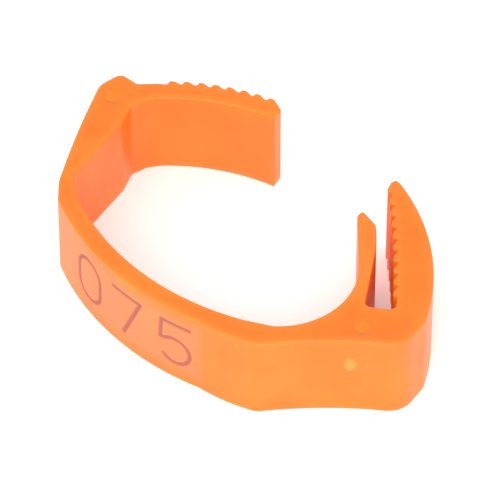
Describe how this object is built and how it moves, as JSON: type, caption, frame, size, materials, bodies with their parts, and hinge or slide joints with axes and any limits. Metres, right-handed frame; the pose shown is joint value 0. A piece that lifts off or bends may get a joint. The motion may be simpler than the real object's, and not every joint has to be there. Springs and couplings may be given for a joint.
{
  "type": "poultry leg band",
  "caption": "Open clip-on plastic poultry leg band: numbered panel, ribbed tongue half and clasp half with a toothed jaw and smooth lip.",
  "frame": {"origin": "middle of the open band's outline, on the surface that the band lies flat on", "axes": "+Z across the band's width; the number panel is at the front left (-X, -Y), the clasp at the right (+X) and the tongue at the back (+Y), pointing right"},
  "size_m": [0.0306, 0.0298, 0.0083],
  "materials": {
    "orange_plastic": "semi-gloss moulded polyethylene, slightly translucent",
    "laser_mark": "matt laser-darkened marking"
  },
  "bodies": {
    "panel": {"number_panel": "orange_plastic", "digit_hundreds": "laser_mark", "digit_tens": "laser_mark", "digit_units": "laser_mark"},
    "tongue": {"tongue_flank": "orange_plastic", "tongue_arm": "orange_plastic"},
    "clasp": {"clasp_heel": "orange_plastic"},
    "jaw": {"outer_jaw": "orange_plastic"},
    "lip": {"inner_lip": "orange_plastic"}
  },
  "joints": [
    {"name": "tongue_crease", "type": "hinge", "parent": "panel", "child": "tongue", "pos_m": [-0.01443, 0.0014, 0.00415], "axis": [0, 0, -1], "range_deg": [-8, 33], "stiffness_Nm_per_rad": 0.03},
    {"name": "clasp_crease", "type": "hinge", "parent": "panel", "child": "clasp", "pos_m": [0.00076, -0.01339, 0.00415], "axis": [0, 0, 1], "range_deg": [-8, 33], "stiffness_Nm_per_rad": 0.03},
    {"name": "jaw_flex", "type": "hinge", "parent": "clasp", "child": "jaw", "pos_m": [0.0145, -0.01073, 0.00415], "axis": [0, 0, -1], "range_deg": [-1.5, 6], "stiffness_Nm_per_rad": 0.03},
    {"name": "lip_flex", "type": "hinge", "parent": "clasp", "child": "lip", "pos_m": [0.00862, -0.00977, 0.00415], "axis": [0, 0, 1], "range_deg": [0, 8], "stiffness_Nm_per_rad": 0.01}
  ],
  "couplings": [
    {"joint": "clasp_crease", "follows": "tongue_crease", "ratio": 1},
    {"joint": "jaw_flex", "follows": "tongue_crease", "ratio": 0.18}
  ]
}
